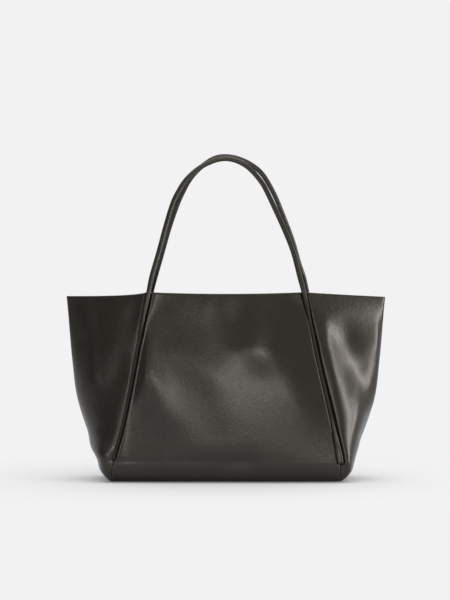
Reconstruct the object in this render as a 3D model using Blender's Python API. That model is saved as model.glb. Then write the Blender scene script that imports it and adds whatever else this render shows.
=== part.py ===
import collections
import math

import bmesh
import bpy
from mathutils import Matrix, Vector

# A wide leather shopper bag standing open on a floor.
# Metres, +Z up, front towards -Y, origin on the floor under the middle of the base.

# Leather body
rim_height = 0.298
rim_middle_drop = 0.0025
rim_corner_drop = 0.009
leather = 0.002
piece_gap = 0.0003
seam_x_at_floor = 0.1844
seam_x_slope = 0.2057
seam_x_tuck = 0.005
seam_y_at_floor = 0.080
seam_y_slope = 0.1242
base_bend_radius = 0.030
base_inner_row = 0.9
rim_bulge = 0.008
belly_bulge = 0.010
bulge_power = 2.4
mouth_settle = 0.005
settle_reach = 0.033

# Half width of the folded gussets by height, along their middle line
gusset_outline = (
    (0.0000, 0.1820),
    (0.0088, 0.1925),
    (0.0185, 0.2000),
    (0.0300, 0.2045),
    (0.0600, 0.2132),
    (0.0950, 0.2262),
    (0.1300, 0.2366),
    (0.1900, 0.2454),
    (0.2980, 0.2570),
)
gusset_fold_squareness = 1.0
gusset_base_squareness = 2.6
gusset_squareness_fade = 1.2
edge_full_reach = 0.018
edge_least_width = 0.12

# Channel in each front and back seam, where a handle lies
channel_half_width = 0.0046
channel_depth = 0.0046
channel_end_widening = 0.0016
channel_end_shallowing = 0.0022
channel_shoulder = 0.7
lip_radius = 0.003
lip_rounding = 0.3
lip_rise = 0.0015
seam_allowance = 0.004
channel_closed = 0.0355
flattening_top = 0.078
flattening_length = 0.030

# Rolled handles
handle_radius = 0.004
handle_bore_radius = 0.0027
handle_cord_radius = 0.0024
flat_end_half_width = 0.0054
flat_end_half_thickness = 0.0018
leg_foot = 0.0405
front_arch_rise = 0.2145
back_arch_rise = 0.2183
arch_foot_reach = 0.150
arch_foot_lean = 0.23
arch_top_reach = 0.055
arch_half_steps = 12
tube_sides = 10
hinge_stand_off = 0.005

# Inside of the bag
sleeve_gap = 0.0006
sleeve_seam_depth = 0.0072
sleeve_base_depth = 0.003
sleeve_deep_from = 0.015
sleeve_deep_rise = 0.018
sleeve_lip_from = 0.0385
sleeve_lip_rise = 0.010
sleeve_corner_tuck = 0.0025
sleeve_seam_power = 4
facing_thickness = 0.0012
facing_foot = 0.2677
facing_top = 0.2972
lining_thickness = 0.0008
lining_heights = (0.2674, 0.225, 0.180, 0.130, 0.085, 0.050, 0.034, 0.020, 0.010, 0.0046)
board_length = 0.336
board_width = 0.092
board_thickness = 0.002
board_corner = 0.012
pocket_half_width = 0.090
pocket_foot = 0.105
pocket_top = 0.225
pocket_thickness = 0.001
pocket_hem_height = 0.012
pocket_hem_extra = 0.0006
pocket_cloth_gap = 0.0007
pocket_middle_rows = (0.180, 0.140)
pocket_columns = 8
snap_height = 0.281
snap_radius = 0.009
snap_thickness = 0.0024
snap_button_radius = 0.0032
snap_button_length = 0.0016
snap_sides = 20

# Rows of the body from the rim down, and steps across each panel
open_heights = (0.298, 0.278, 0.250, 0.220, 0.185, 0.150, 0.115, 0.080, 0.064, 0.050, 0.0385)
bend_angles = (90.0, 67.5, 45.0, 22.5)
panel_steps = 7
gusset_steps = 7

Row = collections.namedtuple("Row", "x y z out down opened")


def new_material(name, colour, roughness, metallic=0.0):
    material = bpy.data.materials.new(name)
    material.use_nodes = True
    shader = material.node_tree.nodes["Principled BSDF"]
    shader.inputs["Base Color"].default_value = (*colour, 1.0)
    shader.inputs["Roughness"].default_value = roughness
    shader.inputs["Metallic"].default_value = metallic
    return material


def add_object(name, bm, material, origin=Vector((0.0, 0.0, 0.0))):
    bmesh.ops.recalc_face_normals(bm, faces=bm.faces)
    bmesh.ops.translate(bm, verts=bm.verts, vec=-origin)
    mesh = bpy.data.meshes.new(name)
    bm.to_mesh(mesh)
    bm.free()
    mesh.shade_smooth()
    mesh.set_sharp_from_angle(angle=math.radians(40.0))
    mesh.materials.append(material)
    piece = bpy.data.objects.new(name, mesh)
    piece.location = origin
    bpy.context.scene.collection.objects.link(piece)
    return piece


def eased(share):
    share = min(max(share, 0.0), 1.0)
    return share * share * (3.0 - 2.0 * share)


# Value at a height on a smooth curve through a few (height, value) points
def read_curve(points, height):
    spot = 0
    while spot < len(points) - 2 and height > points[spot + 1][0]:
        spot += 1
    start, end = points[spot], points[spot + 1]
    before = points[max(spot - 1, 0)]
    after = points[min(spot + 2, len(points) - 1)]
    span = end[0] - start[0]
    leave = (end[1] - before[1]) / (end[0] - before[0]) * span
    arrive = (after[1] - start[1]) / (after[0] - start[0]) * span
    share = (height - start[0]) / span
    rise = (end[1] - start[1]) * eased(share)
    return start[1] + rise + share * (1.0 - share) * (leave * (1.0 - share) - arrive * share)


# Lines of the body

def seam_x(z):
    tuck = seam_x_tuck * max(1.0 - z / base_bend_radius, 0.0) ** 2
    return seam_x_at_floor - seam_x_slope * z - tuck


def seam_y(z):
    return seam_y_at_floor - seam_y_slope * z


def bulge(z):
    return rim_bulge + belly_bulge * math.sin(math.pi * z / rim_height)


def gusset_squareness(z):
    share = (1.0 - z / rim_height) ** gusset_squareness_fade
    return gusset_fold_squareness + (gusset_base_squareness - gusset_fold_squareness) * share


def flattened(z):
    return eased((flattening_top - z) / flattening_length)


# The rim dips towards the middle and the corners, and the back of the mouth has settled to the right
def on_bag(x, y, z):
    beside_handle = seam_x(rim_height)
    reach = abs(x) / beside_handle
    if reach < 1.0:
        drop = rim_middle_drop * (1.0 - reach * reach)
    else:
        drop = rim_corner_drop * (abs(x) - beside_handle) / (gusset_outline[-1][1] - beside_handle)
    share = z / rim_height
    back = min(max(y / settle_reach, 0.0), 1.0)
    return Vector((x + mouth_settle * share * back, y, z - drop * share ** 3))


def wall_row(z, opened):
    return Row(seam_x(z), seam_y(z), z, 1.0, 0.0, opened)


def bend_row(angle):
    angle = math.radians(angle)
    z = base_bend_radius * (1.0 - math.cos(angle))
    y = seam_y(base_bend_radius) - base_bend_radius * (1.0 - math.sin(angle))
    return Row(seam_x(z), y, z, math.sin(angle), -math.cos(angle), 0.0)


def body_rows():
    rows = [wall_row(z, 1.0) for z in open_heights]
    rows.append(wall_row(channel_closed, 0.0))
    rows.extend(bend_row(angle) for angle in bend_angles)
    return rows


# Points of one leather edge beside a seam, as (sideways from the seam, out of the surface)
def channel_edge(row, narrowing=1.0):
    flat = flattened(row.z)
    wide = channel_half_width + channel_end_widening * flat
    deep = channel_depth - channel_end_shallowing * flat
    foot = deep + seam_allowance
    outer = [
        (piece_gap / 2, -deep),
        (channel_shoulder * wide, -channel_shoulder * deep),
        (wide, lip_rise - lip_radius),
        (wide + lip_rounding * lip_radius, lip_rise - lip_rounding * lip_radius),
        (wide + lip_radius, lip_rise),
    ]
    inner = [
        (piece_gap / 2, -foot),
        (leather, -foot),
        (1.2 * leather, leather - foot),
        (wide + 0.5 * leather, lip_rise - lip_radius - leather),
        (wide + lip_radius, lip_rise - leather - piece_gap),
    ]
    edge = piece_gap / 2
    outer = [(edge + (side - edge) * narrowing, out * row.opened) for side, out in outer]
    inner = [
        (edge + (side - edge) * narrowing, out * row.opened - leather * (1.0 - row.opened))
        for side, out in inner
    ]
    return outer, inner


# Joins the rings of a strip of leather, and closes its two ends
def join_rings(bm, rings):
    made = [[bm.verts.new(point) for point in ring] for ring in rings]
    count = len(made[0])
    for ring, following in zip(made, made[1:]):
        for spot in range(count):
            after = (spot + 1) % count
            bm.faces.new((ring[spot], ring[after], following[after], following[spot]))
    for ring in (made[0], made[-1]):
        for spot in range(count // 2 - 1):
            bm.faces.new((ring[spot], ring[spot + 1], ring[-2 - spot], ring[-1 - spot]))


# Front and back panels, each with its half of the base

def panel_ring(row, side):
    outer_edge, inner_edge = channel_edge(row)
    reach = row.x - outer_edge[-1][0]
    swell = bulge(row.z) * row.out ** 2
    outer = []
    for step in range(panel_steps):
        share = step / panel_steps
        outer.append((reach * share, outer_edge[-1][1] + swell * (1.0 - share ** bulge_power)))
    inner = [(x, out - leather) for x, out in outer]
    outer.extend((row.x - x, out) for x, out in reversed(outer_edge))
    inner.extend((row.x - x, out) for x, out in reversed(inner_edge))
    ring = []
    for half, order in ((outer, 1), (inner, -1)):
        line = [(-x, out) for x, out in reversed(half[1:])] + half
        ring.extend(line[::order])
    return [on_bag(x, side * (row.y + out * row.out), row.z + out * row.down) for x, out in ring]


def make_panel(name, side, material):
    bm = bmesh.new()
    rings = [panel_ring(row, side) for row in body_rows()]
    floor_row = bend_row(0.0)
    for y in (floor_row.y, base_inner_row * floor_row.y, piece_gap / 2):
        rings.append(panel_ring(floor_row._replace(y=y), side))
    join_rings(bm, rings)
    return add_object(name, bm, material)


# Side gussets: folded outwards at the mouth, square at the base

def gusset_curve(x_start, y_start, x_end, squareness, steps):
    points = []
    for step in range(steps + 1):
        angle = math.pi / 2 * step / steps
        along = math.sin(angle) ** (2.0 / squareness)
        across = max(math.cos(angle), 0.0) ** (2.0 / squareness) if step < steps else 0.0
        points.append((x_start + (x_end - x_start) * along, y_start * across))
    return points


def offset_inwards(points, distance):
    moved = []
    for spot, (x, y) in enumerate(points):
        normals = []
        for start, end in ((spot - 1, spot), (spot, spot + 1)):
            if start < 0 or end >= len(points):
                continue
            along = Vector((points[end][0] - points[start][0], points[end][1] - points[start][1]))
            normals.append(Vector((along.y, -along.x)).normalized())
        if len(normals) == 1:
            mitre = normals[0]
        else:
            mitre = (normals[0] + normals[1]) / (1.0 + normals[0].dot(normals[1]))
        moved.append((x + mitre.x * distance, y + mitre.y * distance))
    return moved


def gusset_ring(row, side):
    x_end = read_curve(gusset_outline, row.z)
    room = (x_end - row.x - leather) / edge_full_reach
    outer_edge, inner_edge = channel_edge(row, min(max(room, edge_least_width), 1.0))
    x_start = row.x + outer_edge[-1][0]
    y_start = row.y + outer_edge[-1][1] * row.out
    half = gusset_curve(x_start, y_start, x_end, gusset_squareness(row.z), gusset_steps)
    outer = half + [(x, -y) for x, y in reversed(half[:-1])]
    seam_side = row.x + piece_gap / 2
    inner = [(max(x, seam_side), y) for x, y in offset_inwards(outer, leather)]
    edges = []
    for edge, line in ((outer_edge, outer), (inner_edge, inner)):
        front = [(row.x + x, row.y + out * row.out, row.z + out * row.down) for x, out in edge]
        front.pop()
        middle = [(x, y, row.z) for x, y in line]
        edges.append(front + middle + [(x, -y, z) for x, y, z in reversed(front)])
    ring = edges[0] + edges[1][::-1]
    return [on_bag(side * x, -y, z) for x, y, z in ring]


def make_gusset(name, side, material):
    bm = bmesh.new()
    join_rings(bm, [gusset_ring(row, side) for row in body_rows()])
    return add_object(name, bm, material)


# Rolled leather handles with a cotton cord inside

def tube_ring(centre, along, across, half_width, half_thickness):
    lift = along.cross(across).normalized()
    ring = []
    for spot in range(tube_sides):
        angle = 2.0 * math.pi * spot / tube_sides
        ring.append(
            centre
            + across * (half_width * math.cos(angle))
            + lift * (half_thickness * math.sin(angle))
        )
    return ring


# Cuts an end ring level, so that two stretches of a handle meet face to face
def cut_level(ring, along, height):
    return [point + along * ((height - point.z) / along.z) for point in ring]


def tube_rings(path, sizes, level_ends):
    rings = []
    for spot, centre in enumerate(path):
        before = path[max(spot - 1, 0)]
        after = path[min(spot + 1, len(path) - 1)]
        along = (after - before).normalized()
        plane = (path[-1] - path[0]).cross(path[len(path) // 2] - path[0])
        if plane.length < 1e-6:
            plane = Vector((0.0, 1.0, 0.0))
        across = plane.cross(along).normalized()
        ring = tube_ring(centre, along, across, *sizes[spot])
        if spot in level_ends:
            ring = cut_level(ring, along, centre.z)
        rings.append(ring)
    return rings


def add_tube_walls(bm, rings):
    made = [[bm.verts.new(point) for point in ring] for ring in rings]
    for ring, following in zip(made, made[1:]):
        for spot in range(tube_sides):
            after = (spot + 1) % tube_sides
            bm.faces.new((ring[spot], ring[after], following[after], following[spot]))
    return made


def close_between(bm, outer, inner):
    for spot in range(tube_sides):
        after = (spot + 1) % tube_sides
        bm.faces.new((outer[spot], outer[after], inner[after], inner[spot]))


def arch_path(side, rise):
    foot_x = seam_x(rim_height)
    foot = Vector((foot_x, 0.0))
    foot_handle = Vector((foot_x - arch_foot_lean * arch_foot_reach, arch_foot_reach))
    top_handle = Vector((arch_top_reach, rise))
    top = Vector((0.0, rise))
    half = []
    for step in range(arch_half_steps + 1):
        t = step / arch_half_steps
        s = 1.0 - t
        point = foot * s ** 3 + foot_handle * (3 * s * s * t) + top_handle * (3 * s * t * t) + top * t ** 3
        half.append(point)
    centre_x = mouth_settle if side > 0 else 0.0
    foot_y = seam_y(rim_height)
    top_y = handle_radius + piece_gap / 2
    path = []
    for direction, points in ((-1, half), (1, half[-2::-1])):
        for across, up in points:
            y = foot_y + (top_y - foot_y) * up / rise
            z = rim_height + piece_gap / 2 + up
            path.append(Vector((centre_x + direction * across, side * y, z)))
    return path


def make_handle_loop(name, side, rise, leather_material, cord_material):
    path = arch_path(side, rise)
    ends = (0, len(path) - 1)
    hinge = Vector((path[len(path) // 2].x, side * (seam_y(rim_height) + hinge_stand_off), rim_height))
    bm = bmesh.new()
    outer = add_tube_walls(bm, tube_rings(path, [(handle_radius, handle_radius)] * len(path), ends))
    bore = (handle_bore_radius, handle_bore_radius)
    inner = add_tube_walls(bm, tube_rings(path, [bore] * len(path), ends))
    for end in (0, -1):
        close_between(bm, outer[end], inner[end])
    add_object(name, bm, leather_material, hinge)
    bm = bmesh.new()
    cord = (handle_cord_radius, handle_cord_radius)
    made = add_tube_walls(bm, tube_rings(path, [cord] * len(path), ends))
    for end in (0, -1):
        bm.faces.new(made[end])
    add_object(name + "_cord", bm, cord_material, hinge)


def make_handle_leg(name, side, direction, leather_material, cord_material):
    centre_x = mouth_settle if side > 0 else 0.0
    heights = (rim_height - piece_gap / 2, *open_heights[1:-1], leg_foot)

    def point_at(z):
        settled = centre_x * z / rim_height
        return Vector((direction * seam_x(z) + settled, side * seam_y(z), z))

    def size_at(z):
        flat = flattened(z)
        return (
            handle_radius + (flat_end_half_width - handle_radius) * flat,
            handle_radius + (flat_end_half_thickness - handle_radius) * flat,
        )

    bm = bmesh.new()
    outer_path = [point_at(z) for z in heights]
    outer = add_tube_walls(bm, tube_rings(outer_path, [size_at(z) for z in heights], (0,)))
    bm.faces.new(outer[-1])
    bore_heights = [z for z in heights if z > flattening_top]
    bore_path = [point_at(z) for z in bore_heights]
    bore = (handle_bore_radius, handle_bore_radius)
    inner = add_tube_walls(bm, tube_rings(bore_path, [bore] * len(bore_path), (0,)))
    bm.faces.new(inner[-1])
    close_between(bm, outer[0], inner[0])
    add_object(name, bm, leather_material)
    bm = bmesh.new()
    cord_path = bore_path[:-1] + [bore_path[-1] + Vector((0.0, 0.0, 2 * piece_gap))]
    cord = (handle_cord_radius, handle_cord_radius)
    made = add_tube_walls(bm, tube_rings(cord_path, [cord] * len(cord_path), (0,)))
    for end in (0, -1):
        bm.faces.new(made[end])
    add_object(name + "_cord", bm, cord_material)


# Facing and lining, on one sleeve just inside the leather

def sleeve_half_depth(share, z, inset):
    low = min(z / base_bend_radius, 1.0)
    wall = seam_y(max(z, base_bend_radius))
    if low < 1.0:
        inside = base_bend_radius - leather - sleeve_gap
        wall += math.sqrt(inside ** 2 - (base_bend_radius - z) ** 2) - base_bend_radius
    else:
        wall -= leather + sleeve_gap
    deepening = eased((z - sleeve_deep_from) / sleeve_deep_rise)
    hidden = sleeve_base_depth + (sleeve_seam_depth - sleeve_base_depth) * deepening
    rise = lip_rise * eased((z - sleeve_lip_from) / sleeve_lip_rise)
    swell = bulge(z) * low ** 2
    return (
        wall
        - hidden
        + (hidden + rise) * (1.0 - share ** sleeve_seam_power)
        + swell * (1.0 - share ** bulge_power)
        - inset
    )


def sleeve_loop(z, inset):
    x_seam = seam_x(z) - 0.5 * inset
    quarter = []
    for step in range(panel_steps):
        share = step / panel_steps
        quarter.append((x_seam * share, sleeve_half_depth(share, z, inset)))
    x_end = read_curve(gusset_outline, z)
    half_angle = math.atan2(seam_y(z), x_end - seam_x(z))
    corner = (leather + sleeve_gap + inset) / math.sin(half_angle)
    corner += sleeve_corner_tuck * max(1.0 - z / base_bend_radius, 0.0)
    y_seam = sleeve_half_depth(1.0, z, inset)
    quarter.extend(gusset_curve(x_seam, y_seam, x_end - corner, gusset_squareness(z), gusset_steps))
    right = [(x, -y) for x, y in quarter] + [(x, y) for x, y in reversed(quarter[:-1])]
    left = [(-x, y) for x, y in reversed(right[1:-1])]
    return [on_bag(x, y, z) for x, y in right + left]


def add_sleeve(bm, heights, inset):
    made = [[bm.verts.new(point) for point in sleeve_loop(z, inset)] for z in heights]
    for loop, following in zip(made, made[1:]):
        for spot in range(len(loop)):
            after = (spot + 1) % len(loop)
            bm.faces.new((loop[spot], loop[after], following[after], following[spot]))
    return made


def join_loops(bm, outer, inner):
    for spot in range(len(outer)):
        after = (spot + 1) % len(outer)
        bm.faces.new((outer[spot], outer[after], inner[after], inner[spot]))


def make_facing(material):
    bm = bmesh.new()
    outer = add_sleeve(bm, (facing_top, facing_foot), 0.0)
    inner = add_sleeve(bm, (facing_top, facing_foot), facing_thickness)
    join_loops(bm, outer[0], inner[0])
    join_loops(bm, outer[-1], inner[-1])
    return add_object("mouth_facing", bm, material)


def make_lining(material):
    bm = bmesh.new()
    outer = add_sleeve(bm, lining_heights, 0.0)
    inner_heights = (*lining_heights[:-1], lining_heights[-1] + lining_thickness)
    inner = add_sleeve(bm, inner_heights, lining_thickness)
    join_loops(bm, outer[0], inner[0])
    bm.faces.new(outer[-1])
    bm.faces.new(inner[-1])
    return add_object("lining", bm, material)


def make_base_board(material):
    bm = bmesh.new()
    bmesh.ops.create_cube(bm, size=1.0)
    bmesh.ops.scale(bm, vec=(board_length, board_width, board_thickness), verts=bm.verts)
    uprights = [edge for edge in bm.edges if abs(edge.verts[0].co.z - edge.verts[1].co.z) > 0.001]
    bmesh.ops.bevel(bm, geom=uprights, offset=board_corner, segments=4, affect="EDGES", profile=0.5)
    height = leather + piece_gap + board_thickness / 2
    bmesh.ops.translate(bm, verts=bm.verts, vec=(0.0, 0.0, height))
    return add_object("base_board", bm, material)


# Patch pocket lying flat on the back of the lining

def make_pocket(material):
    hem_foot = pocket_top - pocket_hem_height
    plain_rows = (hem_foot - pocket_hem_extra, *pocket_middle_rows, pocket_foot)
    rows = [(z, pocket_thickness + pocket_hem_extra) for z in (pocket_top, hem_foot)]
    rows.extend((z, pocket_thickness) for z in plain_rows)
    outer_inset = lining_thickness + pocket_cloth_gap
    bm = bmesh.new()
    rings = []
    for z, thick in rows:
        ring = []
        for inset, order in ((outer_inset, 1), (outer_inset + thick, -1)):
            line = []
            for step in range(pocket_columns + 1):
                x = pocket_half_width * (2.0 * step / pocket_columns - 1.0)
                y = sleeve_half_depth(abs(x) / seam_x(z), z, inset)
                line.append(on_bag(x, y, z))
            ring.extend(line[::order])
        rings.append(ring)
    join_rings(bm, rings)
    return add_object("slip_pocket", bm, material)


# Magnetic snap: a socket on the front facing and a stud on the back facing

def turned(bm, profile):
    made = []
    for radius, height in profile:
        if radius == 0.0:
            made.append([bm.verts.new((0.0, 0.0, height))])
            continue
        ring = []
        for spot in range(snap_sides):
            angle = 2.0 * math.pi * spot / snap_sides
            ring.append(bm.verts.new((radius * math.cos(angle), radius * math.sin(angle), height)))
        made.append(ring)
    for ring, following in zip(made, made[1:]):
        for spot in range(snap_sides):
            after = (spot + 1) % snap_sides
            if len(ring) == 1:
                bm.faces.new((ring[0], following[spot], following[after]))
            elif len(following) == 1:
                bm.faces.new((ring[spot], ring[after], following[0]))
            else:
                bm.faces.new((ring[spot], ring[after], following[after], following[spot]))


def make_snap(name, side, profile, material):
    def facing_at(z):
        return on_bag(0.0, side * sleeve_half_depth(0.0, z, facing_thickness), z)

    lower = facing_at(snap_height - snap_radius)
    upper = facing_at(snap_height + snap_radius)
    middle = (lower + upper) / 2
    up = (upper - lower).normalized()
    inward = up.cross(Vector((-side, 0.0, 0.0))).normalized()
    bm = bmesh.new()
    turned(bm, profile)
    across = up.cross(inward)
    turn = Matrix((across, up, inward)).transposed()
    bmesh.ops.transform(bm, matrix=turn.to_4x4(), verts=bm.verts)
    bmesh.ops.translate(bm, verts=bm.verts, vec=middle + inward * 2 * piece_gap)
    return add_object(name, bm, material)


def build_bag():
    dark_leather = new_material("dark_leather", (0.030, 0.027, 0.023), 0.42)
    facing_leather = new_material("facing_leather", (0.034, 0.031, 0.027), 0.50)
    lining_cloth = new_material("lining_cloth", (0.060, 0.054, 0.046), 0.85)
    cotton_cord = new_material("cotton_cord", (0.55, 0.52, 0.46), 0.90)
    fibre_board = new_material("fibre_board", (0.20, 0.15, 0.10), 0.80)
    snap_metal = new_material("snap_metal", (0.20, 0.19, 0.18), 0.30, 1.0)

    make_panel("front_panel", -1, dark_leather)
    make_panel("back_panel", 1, dark_leather)
    make_gusset("left_gusset", -1, dark_leather)
    make_gusset("right_gusset", 1, dark_leather)
    make_base_board(fibre_board)
    make_lining(lining_cloth)
    make_facing(facing_leather)
    make_pocket(lining_cloth)

    thick = snap_thickness
    socket_profile = (
        (0.0, 0.0),
        (snap_radius, 0.0),
        (snap_radius, 0.7 * thick),
        (0.85 * snap_radius, thick),
        (snap_button_radius + piece_gap, thick),
        (snap_button_radius + piece_gap, 0.4 * thick),
        (0.0, 0.4 * thick),
    )
    plate = 0.5 * thick
    stud_profile = (
        (0.0, 0.0),
        (snap_radius, 0.0),
        (snap_radius, 0.7 * plate),
        (0.9 * snap_radius, plate),
        (snap_button_radius, plate),
        (snap_button_radius, plate + 0.8 * snap_button_length),
        (0.8 * snap_button_radius, plate + snap_button_length),
        (0.0, plate + snap_button_length),
    )
    make_snap("snap_socket", -1, socket_profile, snap_metal)
    make_snap("snap_stud", 1, stud_profile, snap_metal)

    for place, side, rise in (("front", -1, front_arch_rise), ("back", 1, back_arch_rise)):
        make_handle_loop(place + "_handle_loop", side, rise, dark_leather, cotton_cord)
        for hand, direction in (("left", -1), ("right", 1)):
            name = place + "_handle_" + hand + "_leg"
            make_handle_leg(name, side, direction, dark_leather, cotton_cord)


for existing in list(bpy.data.objects):
    bpy.data.objects.remove(existing, do_unlink=True)
build_bag()
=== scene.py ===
import math

import bmesh
import bpy
import numpy as np
from mathutils import Matrix, Vector


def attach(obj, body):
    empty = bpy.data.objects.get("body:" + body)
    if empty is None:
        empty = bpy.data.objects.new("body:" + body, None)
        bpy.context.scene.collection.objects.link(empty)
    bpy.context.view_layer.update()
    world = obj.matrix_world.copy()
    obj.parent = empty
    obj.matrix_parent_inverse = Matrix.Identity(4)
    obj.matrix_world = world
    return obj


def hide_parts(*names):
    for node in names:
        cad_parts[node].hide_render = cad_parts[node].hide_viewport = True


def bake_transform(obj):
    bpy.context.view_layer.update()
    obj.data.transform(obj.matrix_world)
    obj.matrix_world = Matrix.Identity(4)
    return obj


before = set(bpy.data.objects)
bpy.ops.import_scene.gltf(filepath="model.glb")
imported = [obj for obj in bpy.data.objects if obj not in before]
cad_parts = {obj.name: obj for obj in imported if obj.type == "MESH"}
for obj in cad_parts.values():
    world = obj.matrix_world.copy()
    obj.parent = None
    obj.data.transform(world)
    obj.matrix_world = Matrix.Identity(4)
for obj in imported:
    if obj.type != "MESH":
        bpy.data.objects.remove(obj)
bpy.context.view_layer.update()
scene = bpy.context.scene
print("frame loaded")


# Shared lines of the bag, in metres

bodyLines = {
    "rim": 0.298,
    "leather": 0.002,
    "gap": 0.0003,
    "seamXFloor": 0.1844,
    "seamXSlope": 0.2057,
    "seamTuck": 0.005,
    "seamBow": 0.0028,
    "seamBowTop": 0.215,
    "seamYFloor": 0.080,
    "seamYSlope": 0.1242,
    "bendRadius": 0.030,
    "bendSteps": 14,
    "rimBulge": 0.0044,
    "bellyBulge": 0.0106,
    "bulgePower": 1.8,
    "middleDrop": 0.0025,
    "cornerDrop": (0.0062, 0.0074),  # left, right
    "dropEarly": (4.5, 0.3),  # left, right: how soon the drop comes on the way to the corner
    "cornerReach": 0.257,
    "settle": 0.005,
    "settleReach": 0.033,
    "gussetHeights": (0.0, 0.0088, 0.0185, 0.030, 0.060, 0.095, 0.130, 0.190, 0.298),
    "gussetReach": (0.1820, 0.1925, 0.2000, 0.2045, 0.2132, 0.2262, 0.2366, 0.2454, 0.2570),
    "foldSquareness": 1.0,
    "baseSquareness": 2.6,
    "squarenessFade": 1.2,
    "sectionSteps": 160,
}
seamAtRim = bodyLines["seamXFloor"] - bodyLines["seamXSlope"] * bodyLines["rim"]


def ease(share):
    share = np.clip(share, 0.0, 1.0)
    return share * share * (3.0 - 2.0 * share)


# A smooth curve through values that are given by height
def smoothCurve(heights, values, at):
    heights, values = np.array(heights), np.array(values)
    slopes = np.gradient(values, heights)
    at = np.clip(np.asarray(at, float), heights[0], heights[-1])
    spot = np.clip(np.searchsorted(heights, at, side="right") - 1, 0, len(heights) - 2)
    span = heights[spot + 1] - heights[spot]
    t = (at - heights[spot]) / span
    return (
        values[spot] * (2 * t**3 - 3 * t**2 + 1)
        + slopes[spot] * span * (t**3 - 2 * t**2 + t)
        + values[spot + 1] * (3 * t**2 - 2 * t**3)
        + slopes[spot + 1] * span * (t**3 - t**2)
    )


def seamX(z):
    tuck = bodyLines["seamTuck"] * np.maximum(1.0 - z / bodyLines["bendRadius"], 0.0) ** 2
    bow = bodyLines["seamBow"] * np.sin(np.pi * np.clip(z / bodyLines["seamBowTop"], 0.0, 1.0))
    return bodyLines["seamXFloor"] - bodyLines["seamXSlope"] * z - tuck - bow


def seamY(z):
    return bodyLines["seamYFloor"] - bodyLines["seamYSlope"] * z


def bulge(z):
    return bodyLines["rimBulge"] + bodyLines["bellyBulge"] * np.sin(np.pi * z / bodyLines["rim"])


def gussetReach(z):
    return smoothCurve(bodyLines["gussetHeights"], bodyLines["gussetReach"], z)


# The power of a gusset's rounded section: 1 makes it a straight fold, and more makes it boxier
def squareness(z):
    share = np.clip(1.0 - z / bodyLines["rim"], 0.0, 1.0) ** bodyLines["squarenessFade"]
    return bodyLines["foldSquareness"] + (bodyLines["baseSquareness"] - bodyLines["foldSquareness"]) * share


# The rim dips at the middle and the corners, and the back of the mouth has settled to the right
def settled(points):
    points = np.array(points, float)
    x, y, z = points[..., 0], points[..., 1], points[..., 2]
    reach = np.abs(x) / seamAtRim
    outside = np.maximum((np.abs(x) - seamAtRim) / (bodyLines["cornerReach"] - seamAtRim), 0.0)
    early = np.where(x < 0.0, bodyLines["dropEarly"][0], bodyLines["dropEarly"][1])
    depth = np.where(x < 0.0, bodyLines["cornerDrop"][0], bodyLines["cornerDrop"][1])
    corner = depth * (1.0 - np.exp(-early * outside)) / (1.0 - np.exp(-early))
    drop = np.where(reach < 1.0, bodyLines["middleDrop"] * (1.0 - reach**2), corner)
    share = z / bodyLines["rim"]
    back = np.clip(y / bodyLines["settleReach"], 0.0, 1.0)
    return np.stack([x + bodyLines["settle"] * share * back, y, z - drop * share**3], axis=-1)


# Rows of the body from the rim down, round the base bend and along the floor:
# height, distance from the middle, and the direction that the leather faces (outward, down)
def bodyRows(step, floorStep=None):
    radius = bodyLines["bendRadius"]
    count = int(round((bodyLines["rim"] - radius) / step))
    heights = np.linspace(bodyLines["rim"], radius, count + 1)
    rows = [(z, seamY(z), 1.0, 0.0) for z in heights]
    for angle in np.radians(np.linspace(90.0, 0.0, bodyLines["bendSteps"] + 1)[1:]):
        outward, down = math.sin(angle), -math.cos(angle)
        rows.append((radius * (1.0 + down), seamY(radius) - radius * (1.0 - outward), outward, down))
    if floorStep:
        start = rows[-1][1]
        for y in np.linspace(start, bodyLines["gap"] / 2, int(start / floorStep) + 1)[1:]:
            rows.append((0.0, y, 0.0, -1.0))
    return np.array(rows)


# Leather that has been pushed and folded

# Each fold: start and end (sideways, height), half width on its two sides, height out of the surface,
# and the share of its length over which its ends fade. The front, left and right lists started as
# a fit to the light and dark patches of the photo, and some front rows were then changed.
def foldHeight(folds, x, z):
    total = np.zeros(np.broadcast(x, z).shape)
    for x0, z0, x1, z1, above, below, out, fade in folds:
        along = np.array([x1 - x0, z1 - z0])
        length = float(np.hypot(*along))
        along = along / length
        s = ((x - x0) * along[0] + (z - z0) * along[1]) / length
        d = -(x - x0) * along[1] + (z - z0) * along[0]
        width = np.where(d > 0.0, above, below)
        ends = ease(s / fade + 0.5) * ease((1.0 - s) / fade + 0.5)
        total = total + out * np.exp(-((d / width) ** 2)) * ends
    return total


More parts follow.
